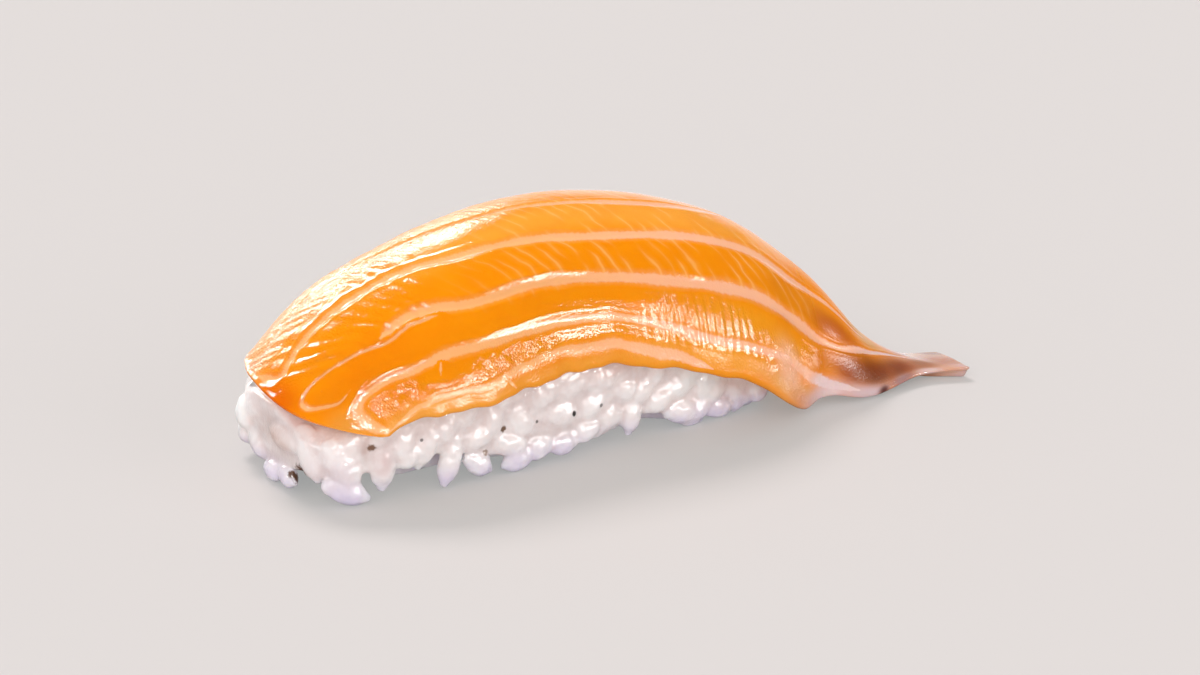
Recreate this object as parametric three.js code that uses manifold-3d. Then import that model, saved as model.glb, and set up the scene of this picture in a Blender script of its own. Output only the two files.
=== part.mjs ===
// Salmon nigiri: a slice of raw salmon draped over a pressed block of rice, its thin tail trailing on the table.
// Millimetres, +Z up. The rice's middle stands over the origin with its underside on z = 0. The tail points
// along +X, and the slice hangs lower on the -Y side, which is called near. The other side is called far.
import * as THREE from "three";
import { mergeVertices } from "three/addons/utils/BufferGeometryUtils.js";
import Module from "manifold-3d";

// ---- sizes of the block of rice ----

const RICE_HALF = { x: 27.2, y: 11.1 }; // half its length and width over the grains
const RICE_CORNER = 5; // power of its outline seen from above, higher for squarer corners
const CORE_INSET = 1.1; // how far the pressed core lies inside the outline
const CORE_UNDER_RIDGE = 3.6; // from the slice's ridge down to the top of the core
const GRAIN_SUNK = 0.42; // how deep a grain's axis lies in the wall, in grain widths
const GRAIN_SIDES = 5;
const GRAIN_LEVELS = 4;
const GAP = 0.3; // between the rice and the slice

// The core's wall: share of the height, and share of the full outline there.
const CORE_WALL = [[0, 0.84], [0.08, 0.94], [0.18, 1], [0.5, 1], [0.72, 0.96], [0.87, 0.84], [0.96, 0.6]];

// Grains pressed into the near wall: x, height of the middle, turn in degrees, length and width.
const NEAR_GRAINS = [
  [-24.1, 4, -62, 7.6, 3], [-23.7, 1.5, -22, 6.4, 2.7], [-20.7, 7, 78, 4.6, 2.4], [-20.1, 3.6, 88, 6.8, 2.7],
  [-17.9, 5.4, 84, 6, 2.7], [-17.3, 4.2, 24, 4.6, 2.2], [-15.3, 5, 64, 6.6, 2.6], [-13.3, 6.2, 50, 5.4, 2.6],
  [-12.7, 2.7, 74, 6.8, 2.4], [-11, 7.4, 60, 6.2, 2.9], [-9.7, 4.6, 20, 5.4, 2.5], [-9.3, 1.7, -34, 5, 2.4],
  [-7.9, 6, 80, 5.8, 2.6], [-6.9, 8, 34, 5.4, 2.6], [-5.4, 3, -20, 5.6, 2.5], [-5.1, 1.3, 14, 5.2, 2.4],
  [-4.5, 5.2, -50, 6.6, 3], [-2.7, 2, 10, 5.2, 2.7], [-2.1, 7.6, 30, 6.6, 2.9], [0.2, 5, -14, 6.4, 3],
  [0.2, 1.7, 10, 4.8, 2.4], [1.4, 8, 12, 6.4, 2.8], [2.8, 2.4, 20, 4.2, 2.2], [3.5, 5.2, 26, 6, 2.9],
  [4.9, 7.6, 0, 6.4, 2.8], [5.9, 3.3, -60, 5.6, 3.2], [7.7, 6, -8, 5, 2.5], [8.3, 2.6, 80, 5, 2.3],
  [9.6, 5.4, 40, 5.2, 2.6], [10.9, 6.8, 58, 5, 2.5], [11.4, 3.8, 30, 5.2, 2.5], [14.1, 4.9, 20, 5.8, 2.7],
  [14.9, 2, -14, 6, 2.8], [16.7, 1.8, 40, 4, 2.2], [17.5, 5, 4, 5.4, 2.5], [18.4, 3.4, 30, 5.4, 2.7],
  [19.6, 1.3, -5, 5, 2.4], [21.6, 1.2, 76, 3.6, 2.1], [21.9, 2.9, -10, 5, 2.5],
];

// Grains in the wall under the cut end: y, height, turn, length, width, and how far each stands out.
const END_GRAINS = [
  [-6, 4.8, -68, 7.4, 3, 0], [-2.2, 1.5, -10, 4.6, 2.3, 0.1], [-1.5, 5.5, 4, 7.4, 2.7, 0.3],
  [0.4, 1.1, 0, 4.4, 2.1, 0.2], [1.2, 2.2, 8, 6, 2.2, -0.9], [4.2, 2.6, -30, 5.6, 2.6, 0],
  [5.2, 6.4, 40, 5.6, 2.7, 0], [6.8, 4.8, 84, 5.4, 2.9, 0.8], [8.2, 2.6, 50, 4.6, 2.7, 0.6],
];

// One more grain, at the corner under the tail: compass angle in degrees, and the rest as above.
const CORNER_GRAIN = [-21.5, 2, -50, 3.8, 2.7, 1.3];

// The far wall and the wall under the tail are filled row by row, between two compass angles.
const FILL = {
  seed: 7,
  from: -0.62,
  to: Math.PI - 0.36,
  heights: [1.3, 3.7, 6.1, 8.5, 10.9, 13.3],
  step: 5.7, // average distance from grain to grain
  length: [5.2, 7],
  width: [2.4, 3.1],
  turn: [-70, 70],
  unevenHeight: 0.45,
  unevenDepth: 0.25,
  room: 1, // left under the slice
};

// ---- sizes of the slice ----
// Profiles are knots of [place, value], where place runs along x from the cut end to the tip of the tail.

const SLICE_SHIFT = 1.3; // where the slice's own place 0 lies along x
const CUT_END = -29.4;
const TAIL_TIP = 46;
const END_ROUND = 3.4; // how far the cut end's corners are drawn back
const END_SQUARENESS = 3; // power of that curve, higher for squarer corners

const RIDGE_HEIGHT = [
  [-30, 9.35], [-22, 16.8], [-12, 21.1], [0, 23.4], [10, 22.95], [18, 21], [25, 17.5],
  [31, 12.05], [36, 5.45], [41, 2.2], [46, 1.4],
];
const RIDGE_SIDE = [[-30, 2], [0, -0.2], [18, -2.8], [28, -3.7], [34, -7.4], [40, -10.3], [46, -13.9]];

// The skin falls away from its ridge on both sides, by arcs of this length and steepness at the edge.
const NEAR_WIDTH = [
  [-30, 14], [-22, 17], [-15, 19.35], [-5, 19.6], [5, 19.05], [12, 19.7], [20, 20.4],
  [24.5, 21.15], [27, 20], [29.5, 16.55], [33, 12], [37, 6.5], [41, 2.5], [46, 0.8],
];
const FAR_WIDTH = [[-30, 10.5], [-10, 12.6], [15, 17.7], [28, 10.75], [35, 6.35], [40, 4.2], [46, 4.6]];
const NEAR_FALL = [[-30, 58.5], [0, 87], [22, 82.5], [32, 94], [40, 53.5], [46, 5.5]];
const FAR_FALL = [[-30, 60], [0, 76.5], [25, 68], [36, 36], [46, 8]];
const NEAR_CURL = [[-30, 1.5], [5, 0.8], [25, 0.7], [48, 1.2]]; // below 1 the arc turns close to the ridge
const FAR_CURL = 1.25;

// How the arcs' planes stand: turned about z in degrees, and leaning square to the ridge, 0 to 1.
const YAW = [[-30, -7.5], [10, -4.5], [30, 1.5], [48, 0]];
const LEAN = [[-30, 1], [5, 0.7], [18, 0.2], [30, 0.1], [48, 0.3]];

const THICKNESS = [
  [-30, 2.2], [-26, 3.4], [-20, 4.5], [0, 5], [18, 4.7], [27, 3.6], [33, 2.6], [40, 1.8], [48, 1.2],
];
const LIP = 0.34; // thickness of the long edges, as a share of the middle's
const LIP_BEGINS = 0.5; // share of the way from the ridge to the edge
const CUT_LIP = 0.85; // thickness of the cut end, as a share
const CUT_LIP_LENGTH = 4;
const EDGE_BULGE = 0.3; // how far the long edges round out, in edge thicknesses

// Pale sinews run in shallow grooves: their place across the skin, from -1 at the near edge to 1 at the far.
const SINEWS = [
  [[-30, -0.95], [-19, -0.93], [-3, -0.89], [9, -0.935], [15, -0.95], [46, -0.95]],
  [[-30, -0.7], [-14, -0.71], [-5, -0.74], [7, -0.78], [14, -0.835], [25, -0.82], [30, -0.86], [46, -0.86]],
  [[-30, -0.47], [-16, -0.435], [-10, -0.5], [5, -0.553], [25, -0.57], [31, -0.65], [37, -0.45], [46, -0.45]],
  [[-30, -0.1], [-15, -0.127], [-9, -0.207], [0, -0.27], [8, -0.307], [20, -0.29], [33, -0.34], [46, -0.34]],
  [[-30, 0.42], [-23, 0.32], [-6, 0.085], [0, 0.043], [10, -0.037], [18, -0.027], [24, 0.043], [46, 0.1]],
  [[-30, 0.75], [-12, 0.62], [4, 0.45], [28, 0.4], [46, 0.4]],
];
const SINEW_SHARE = 0.028; // half a groove's width, as a share of the arc
const SINEW_DEPTH = 0.2;

// ---- helpers ----

const wasm = await Module();
wasm.setup();

const radians = (degrees) => (degrees * Math.PI) / 180;
const between = ([low, high], share) => low + (high - low) * share;

function smoothStep(from, to, value) {
  const t = Math.min(Math.max((value - from) / (to - from), 0), 1);
  return t * t * (3 - 2 * t);
}

// The value of a profile at a place: a smooth curve through its knots, level outside them.
function along(knots, place) {
  const last = knots.length - 1;
  const held = Math.min(Math.max(place, knots[0][0]), knots[last][0]);
  let i = 0;
  while (i < last - 1 && held > knots[i + 1][0]) i++;
  const span = (k) => knots[k + 1][0] - knots[k][0];
  const rise = (k) => (knots[k + 1][1] - knots[k][1]) / span(k);
  const tangent = (k) => {
    if (k === 0) return rise(0);
    if (k === last) return rise(last - 1);
    return (rise(k - 1) * span(k) + rise(k) * span(k - 1)) / (span(k - 1) + span(k));
  };
  const t = (held - knots[i][0]) / span(i);
  const start = (2 * t ** 3 - 3 * t ** 2 + 1) * knots[i][1];
  const startSlope = (t ** 3 - 2 * t ** 2 + t) * span(i) * tangent(i);
  const end = (3 * t ** 2 - 2 * t ** 3) * knots[i + 1][1];
  const endSlope = (t ** 3 - t ** 2) * span(i) * tangent(i + 1);
  return start + startSlope + end + endSlope;
}

// Repeatable draws from 0 to 1.
function drawer(seed) {
  let state = seed;
  return () => {
    state = (Math.imul(state, 1664525) + 1013904223) >>> 0;
    return state / 2 ** 32;
  };
}

function geometryFrom(positions, indices) {
  const geometry = new THREE.BufferGeometry();
  geometry.setAttribute("position", new THREE.Float32BufferAttribute(positions, 3));
  geometry.setIndex(indices);
  return geometry;
}

function solidOf(geometry) {
  const bare = geometry.clone();
  bare.deleteAttribute("normal");
  bare.deleteAttribute("uv");
  const merged = mergeVertices(bare, 1e-4);
  const vertProperties = new Float32Array(merged.attributes.position.array);
  const triVerts = new Uint32Array(merged.index.array);
  return new wasm.Manifold(new wasm.Mesh({ numProp: 3, vertProperties, triVerts }));
}

// The largest closed body of a solid, without the scraps that a cut leaves.
function mainBody(solid) {
  return solid.decompose().reduce((a, b) => (a.volume() > b.volume() ? a : b));
}

function meshOf(solid, name, material) {
  const { vertProperties, triVerts } = solid.getMesh();
  const geometry = geometryFrom(Array.from(vertProperties), Array.from(triVerts));
  geometry.computeVertexNormals();
  const mesh = new THREE.Mesh(geometry, material);
  mesh.name = name;
  return mesh;
}

// Joins rings of points, each listed the same way round, with triangles facing out.
function joinRings(indices, rings, ring) {
  for (let i = 0; i < rings - 1; i++) {
    for (let j = 0; j < ring; j++) {
      const a = i * ring + j;
      const b = i * ring + ((j + 1) % ring);
      indices.push(a, a + ring, b + ring, a, b + ring, b);
    }
  }
}

// ---- the slice ----

// The edges wander a little as far as the tail, each side in its own way.
function frill(place, isNear) {
  const phase = isNear ? place : place + 40;
  const wander = 0.16 * Math.sin(0.9 * phase) + 0.08 * Math.sin(1.9 * phase + 1);
  return wander * (1 - smoothStep(20, 24, place));
}

// Where the slice begins at a place across it.
function cutPlace(across) {
  return CUT_END + END_ROUND * Math.abs(across) ** END_SQUARENESS;
}

// Directions of the arc at a place: outward from the ridge to the far side, and up.
function arcPlane(place) {
  const slope = (along(RIDGE_HEIGHT, place + 0.05) - along(RIDGE_HEIGHT, place - 0.05)) / 0.1;
  const ahead = new THREE.Vector3(1, 0, slope).normalize();
  const turn = radians(along(YAW, place));
  const outward = ahead.multiplyScalar(-Math.sin(turn)).setY(Math.cos(turn));
  const up = new THREE.Vector3(-slope * along(LEAN, place), 0, 1).normalize();
  return { outward, up };
}

// How far an arc of a given length reaches out and down when it curls to its full fall at share 1.
function arcReach(length, fall, curl, share) {
  const steps = 16;
  const step = (share * length) / steps;
  let out = 0;
  let down = 0;
  for (let k = 0; k < steps; k++) {
    const angle = fall * ((share * (k + 0.5)) / steps) ** curl;
    out += Math.cos(angle) * step;
    down += Math.sin(angle) * step;
  }
  return { out, down };
}

function grooveDepth(place, share, across) {
  let depth = 0;
  for (const sinew of SINEWS) depth += Math.exp(-(((across - along(sinew, place)) / SINEW_SHARE) ** 2));
  const fade = smoothStep(0.01, 0.06, share) * (1 - smoothStep(0.8, 0.9, share));
  return SINEW_DEPTH * Math.min(depth, 1) * fade;
}

// A point of the slice. Share runs from 0 at the cut end to 1 at the tip, and across from -1 at the near
// edge to 1 at the far one. The underside hangs below the skin. Grow fattens the slice all round.
function slicePoint(share, across, isUnderside, grow) {
  const from = cutPlace(across) - grow;
  const place = between([from, TAIL_TIP + grow], share);
  const isNear = across < 0;
  const side = isNear ? -1 : 1;
  const t = Math.abs(across);
  const { outward, up } = arcPlane(place);
  const width = along(isNear ? NEAR_WIDTH : FAR_WIDTH, place) + grow + frill(place, isNear) * t ** 4;
  const fall = radians(along(isNear ? NEAR_FALL : FAR_FALL, place));
  const { out, down } = arcReach(width, fall, isNear ? along(NEAR_CURL, place) : FAR_CURL, t);
  const point = new THREE.Vector3(place + SLICE_SHIFT, along(RIDGE_SIDE, place), along(RIDGE_HEIGHT, place));
  point.addScaledVector(outward, side * out).addScaledVector(up, -down);

  // inward turns evenly from straight down at the ridge to sideways at the edge
  const inward = up.multiplyScalar(-Math.cos(fall * t));
  inward.addScaledVector(outward, -side * Math.sin(fall * t));
  if (!isUnderside) return point.addScaledVector(inward, grooveDepth(place, share, across) - grow);
  const edge = 1 - (1 - LIP) * smoothStep(LIP_BEGINS, 1, t);
  const fromCut = Math.min(1, (place - from + 0.05) / CUT_LIP_LENGTH);
  const cut = CUT_LIP + (1 - CUT_LIP) * Math.sqrt(fromCut);
  return point.addScaledVector(inward, along(THICKNESS, place) * edge * cut + grow);
}

// Where the skin's columns of points lie across: three to a sinew, and some between.
function columnsAcross(place) {
  const reach = 1.2 * SINEW_SHARE;
  const columns = [-1];
  for (const sinew of SINEWS) {
    const middle = along(sinew, place);
    const before = columns[columns.length - 1];
    if (columns.length > 1) columns.push((before + middle - reach) / 2);
    columns.push(middle - reach, middle, middle + reach);
  }
  const last = columns[columns.length - 1];
  for (const part of [0.3, 0.6, 0.85, 1]) columns.push(between([last, 1], part));
  return columns;
}

// Closes an end of the loft by zipping the skin's columns to the underside's, which run the other way.
function zipEnd(indices, base, topCount, underCount, flip) {
  const ring = topCount + underCount + 2;
  const underAt = (k) => ring - 2 - k;
  const put = (a, b, c) => {
    if (flip) indices.push(base + a, base + c, base + b);
    else indices.push(base + a, base + b, base + c);
  };
  put(ring - 1, 0, underAt(0));
  put(underAt(underCount - 1), topCount - 1, topCount);
  let j = 0;
  let k = 0;
  while (j < topCount - 1 || k < underCount - 1) {
    if ((j + 1) / (topCount - 1) <= (k + 1) / (underCount - 1)) {
      put(j, j + 1, underAt(k));
      j += 1;
    } else {
      put(j, underAt(k + 1), underAt(k));
      k += 1;
    }
  }
}

// The middle of a long edge, bulging outwards.
function edgeMiddle(top, under, topNeighbour) {
  const outwards = top.clone().sub(topNeighbour).normalize();
  const middle = top.clone().add(under).multiplyScalar(0.5);
  return middle.addScaledVector(outwards, top.distanceTo(under) * EDGE_BULGE);
}

function sliceSolid(grow, stations, underCount) {
  const topCount = columnsAcross(0).length;
  const ring = topCount + underCount + 2;
  const positions = [];
  const indices = [];
  for (let i = 0; i < stations; i++) {
    const share = i / (stations - 1);
    const columns = columnsAcross(between([CUT_END, TAIL_TIP], share));
    const top = columns.map((across) => slicePoint(share, across, false, grow));
    const under = [];
    for (let j = 0; j < underCount; j++) {
      under.push(slicePoint(share, 1 - (2 * j) / (underCount - 1), true, grow));
    }
    const farEdge = edgeMiddle(top[topCount - 1], under[0], top[topCount - 2]);
    const nearEdge = edgeMiddle(top[0], under[underCount - 1], top[1]);
    for (const p of [...top, farEdge, ...under, nearEdge]) positions.push(p.x, p.y, p.z);
  }
  joinRings(indices, stations, ring);
  zipEnd(indices, 0, topCount, underCount, false);
  zipEnd(indices, (stations - 1) * ring, topCount, underCount, true);
  return solidOf(geometryFrom(positions, indices));
}

// ---- the block of rice ----

// A place on the block's outline at a compass angle, with the direction that the wall faces there.
function wall(angle, inset) {
  const a = RICE_HALF.x - inset;
  const b = RICE_HALF.y - inset;
  const cos = Math.cos(angle);
  const sin = Math.sin(angle);
  const power = RICE_CORNER;
  const reach = (Math.abs(cos / a) ** power + Math.abs(sin / b) ** power) ** (-1 / power);
  const at = new THREE.Vector3(reach * cos, reach * sin, 0);
  const outX = (Math.sign(at.x) * Math.abs(at.x / a) ** (power - 1)) / a;
  const outY = (Math.sign(at.y) * Math.abs(at.y / b) ** (power - 1)) / b;
  return { at, out: new THREE.Vector3(outX, outY, 0).normalize() };
}

// The compass angle, between two limits, at which the outline reaches a value that grows with the angle.
function angleWhere(low, high, valueAt, wanted) {
  for (let k = 0; k < 30; k++) {
    const middle = (low + high) / 2;
    if (valueAt(wall(middle, 0).at) < wanted) low = middle;
    else high = middle;
  }
  return low;
}

function coreSolid() {
  const around = 40;
  const height = (x) => along(RIDGE_HEIGHT, x - SLICE_SHIFT) - CORE_UNDER_RIDGE;
  const positions = [];
  const indices = [];
  for (const [level, share] of [...CORE_WALL].reverse()) {
    for (let j = 0; j < around; j++) {
      const { at } = wall((j / around) * 2 * Math.PI, CORE_INSET);
      const x = at.x * between([0.65, 1], share);
      positions.push(x, at.y * share, level * height(x));
    }
  }
  joinRings(indices, CORE_WALL.length, around);
  const bottom = (CORE_WALL.length - 1) * around;
  const topMiddle = positions.length / 3;
  positions.push(0, 0, height(0), 0, 0, 0);
  for (let j = 0; j < around; j++) {
    const next = (j + 1) % around;
    indices.push(topMiddle, j, next, topMiddle + 1, bottom + next, bottom + j);
  }
  return solidOf(geometryFrom(positions, indices));
}

// A grain is a rounded rod in the wall, turned in the wall's own plane.
function grainSolid(angle, height, turn, length, width, standsOut) {
  const { at, out } = wall(angle, 0);
  const place = at.addScaledVector(out, standsOut - width * GRAIN_SUNK);
  place.z = Math.max(height, 0.25 + 0.5 * width * Math.abs(Math.cos(radians(turn))));
  const axis = new THREE.Vector3(0, 0, 1).cross(out).applyAxisAngle(out, radians(turn));
  const frame = new THREE.Matrix4().makeBasis(axis, out.clone().cross(axis), out).setPosition(place);
  const geometry = new THREE.SphereGeometry(1, GRAIN_SIDES, GRAIN_LEVELS).rotateZ(Math.PI / 2);
  geometry.scale(length / 2, width / 2, width / 2).applyMatrix4(frame);
  return solidOf(geometry);
}

// Finds how far a place lies under the slice, straight up, from a net of points on its underside.
function roomFinder() {
  const net = [];
  for (let i = 0; i <= 36; i++) {
    for (let j = 0; j <= 18; j++) net.push(slicePoint(i / 36, j / 9 - 1, true, GAP));
  }
  const beyond = 2.5; // no slice overhead when the nearest point is further off than this
  return (place) => {
    const apart = (p) => Math.hypot(p.x - place.x, p.y - place.y);
    const nearest = net.reduce((a, b) => (apart(b) < apart(a) ? b : a));
    return apart(nearest) < beyond ? nearest.z - place.z : Infinity;
  };
}

function filledGrains() {
  const draw = drawer(FILL.seed);
  const roomAbove = roomFinder();
  const grains = [];
  FILL.heights.forEach((rowHeight, row) => {
    let angle = FILL.from + (row % 2) * 0.06;
    while (angle < FILL.to) {
      const { at, out } = wall(angle, 0);
      const lengthPerRadian = at.distanceTo(wall(angle + 0.001, 0).at) / 0.001;
      const turn = between(FILL.turn, draw());
      const length = between(FILL.length, draw());
      const width = between(FILL.width, draw());
      const height = rowHeight + FILL.unevenHeight * (2 * draw() - 1);
      const standsOut = FILL.unevenDepth * (2 * draw() - 1);
      const middle = at.addScaledVector(out, -width / 2).setZ(height);
      if (roomAbove(middle) > FILL.room) {
        grains.push(grainSolid(angle, height, turn, length, width, standsOut));
      }
      angle += (FILL.step * between([0.8, 1.2], draw())) / lengthPerRadian;
    }
  });
  return grains;
}

function riceSolid(sliceRoom, aboveTable) {
  const nearGrains = NEAR_GRAINS.map(([x, height, turn, length, width]) => {
    const angle = angleWhere(Math.PI, 2 * Math.PI, (at) => at.x, x);
    return grainSolid(angle, height, turn, length, width, 0);
  });
  const endGrains = END_GRAINS.map(([y, height, turn, length, width, standsOut]) => {
    const angle = angleWhere(Math.PI / 2, 1.5 * Math.PI, (at) => -at.y, -y);
    return grainSolid(angle, height, turn, length, width, standsOut);
  });
  const [cornerAngle, ...cornerSizes] = CORNER_GRAIN;
  const cornerGrain = grainSolid(radians(cornerAngle), ...cornerSizes);
  const grains = [...nearGrains, ...endGrains, cornerGrain, ...filledGrains()];
  const heap = grains.reduce((a, b) => a.add(b), coreSolid());
  return mainBody(heap.intersect(aboveTable).subtract(sliceRoom));
}

// ---- the part ----

const salmonMaterial = new THREE.MeshStandardMaterial({ name: "salmon", color: 0xe88a1a, roughness: 0.3 });
const riceMaterial = new THREE.MeshStandardMaterial({ name: "rice", color: 0xe8dcda, roughness: 0.4 });

const aboveTable = solidOf(new THREE.BoxGeometry(200, 200, 60).translate(0, 0, 30));
const salmon = mainBody(sliceSolid(0, 42, 13).intersect(aboveTable));
const rice = riceSolid(sliceSolid(GAP, 26, 9), aboveTable);

const nigiri = new THREE.Group();
nigiri.name = "nigiri";
nigiri.add(meshOf(rice, "rice", riceMaterial), meshOf(salmon, "salmon", salmonMaterial));

export default nigiri;
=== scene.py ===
"""Salmon nigiri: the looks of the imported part, a slice of raw salmon draped over a block of pressed rice."""

import math

import bpy
import numpy as np
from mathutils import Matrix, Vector
from mathutils.kdtree import KDTree


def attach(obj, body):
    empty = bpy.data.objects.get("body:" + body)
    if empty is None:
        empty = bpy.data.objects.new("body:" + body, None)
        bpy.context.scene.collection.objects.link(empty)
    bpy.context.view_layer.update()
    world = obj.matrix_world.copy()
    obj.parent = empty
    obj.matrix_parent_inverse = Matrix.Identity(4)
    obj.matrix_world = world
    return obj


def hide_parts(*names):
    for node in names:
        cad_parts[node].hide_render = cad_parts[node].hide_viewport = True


MM = 0.001  # the sizes below are millimetres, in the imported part's own frame

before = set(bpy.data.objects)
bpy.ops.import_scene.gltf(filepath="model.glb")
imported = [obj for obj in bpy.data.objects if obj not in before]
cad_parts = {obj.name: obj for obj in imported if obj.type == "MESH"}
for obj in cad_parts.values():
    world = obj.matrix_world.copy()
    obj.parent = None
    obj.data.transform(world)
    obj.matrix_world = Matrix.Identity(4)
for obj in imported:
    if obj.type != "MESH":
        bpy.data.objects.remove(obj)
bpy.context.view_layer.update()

# ---- the photograph's camera ----

CAMERA_TARGET = Vector((7.3, -2, 10)) * MM
CAMERA_AZIMUTH = -32
CAMERA_ELEVATION = 22
CAMERA_DISTANCE = 450 * MM
CAMERA_LENS = 133.65  # mm, as the sensor's width is
SENSOR_WIDTH = 36
NEAR_CLIP = 10 * MM
FRAME_WIDTH = 1200  # pixels
FRAME_HEIGHT = 675
TARGET_PIXEL = (579, 327)

# ---- the slice, by the same sizes as the solid ----
# Profiles are knots of [place, value], where place runs along x from the cut end to the tip of the tail.

SLICE_SHIFT = 1.3  # how far the whole slice lies towards the tail from its places
CUT_END = -29.4
TAIL_TIP = 46
END_ROUND = 3.4  # how far the cut end's corners lie back, and how square it is
END_SQUARENESS = 3
RIDGE_HEIGHT = [
    [-30, 9.35], [-22, 16.8], [-12, 21.1], [0, 23.4], [10, 22.95], [18, 21], [25, 17.5],
    [31, 12.05], [36, 5.45], [41, 2.2], [46, 1.4],
]
RIDGE_SIDE = [[-30, 2], [0, -0.2], [18, -2.8], [28, -3.7], [34, -7.4], [40, -10.3], [46, -13.9]]
NEAR_WIDTH = [
    [-30, 14], [-22, 17], [-15, 19.35], [-5, 19.6], [5, 19.05], [12, 19.7], [20, 20.4],
    [24.5, 21.15], [27, 20], [29.5, 16.55], [33, 12], [37, 6.5], [41, 2.5], [46, 0.8],
]
FAR_WIDTH = [[-30, 10.5], [-10, 12.6], [15, 17.7], [28, 10.75], [35, 6.35], [40, 4.2], [46, 4.6]]
NEAR_FALL = [[-30, 58.5], [0, 87], [22, 82.5], [32, 94], [40, 53.5], [46, 5.5]]
FAR_FALL = [[-30, 60], [0, 76.5], [25, 68], [36, 36], [46, 8]]
NEAR_CURL = [[-30, 1.5], [5, 0.8], [25, 0.7], [48, 1.2]]
FAR_CURL = 1.25
YAW = [[-30, -7.5], [10, -4.5], [30, 1.5], [48, 0]]
LEAN = [[-30, 1], [5, 0.7], [18, 0.2], [30, 0.1], [48, 0.3]]
THICKNESS = [
    [-30, 2.2], [-26, 3.4], [-20, 4.5], [0, 5], [18, 4.7], [27, 3.6], [33, 2.6], [40, 1.8], [48, 1.2],
]
LIP = 0.34  # the share of the thickness left at the long edges, and where across it begins to thin
LIP_BEGINS = 0.5
CUT_LIP = 0.85  # the same share at the cut end, and the length over which it thins
CUT_LIP_LENGTH = 4
CUT_LIP_START = 0.05
SLOPE_STEP = 0.05  # mm, for measuring a profile's slope
FALL_STEPS = 16
MEAN_WIDTH = 19  # mm of skin from the ridge to an edge, for distances across it
CUT_ROUND = 0.7  # how far the cut end and the tip of the tail are rounded off
TIP_ROUND = 0.4
SLICE_CLEARS_TABLE = 0.12

# Waves of the long edges: height, radians a millimetre and start.
FRILL = [(0.16, 0.9, 0), (0.08, 1.9, 1)]
FRILL_FADES = (20, 24)
FAR_FRILL_SHIFT = 40

# The slice's mesh: rings along it, and columns across it, denser where most of the sinews run.
STATIONS = 408
NEAR_COLUMNS = 150
FAR_COLUMNS = 40
COLUMNS_CHANGE = 0.25
UNDER_COLUMNS = 36
EDGE_POINTS = 5
EDGE_BULGE = 0.8  # 1 for a half circle
END_RINGS = 5
END_TURN = 80  # degrees
RELIEF_ENDS = 0.97  # across, from where it fades out

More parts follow.
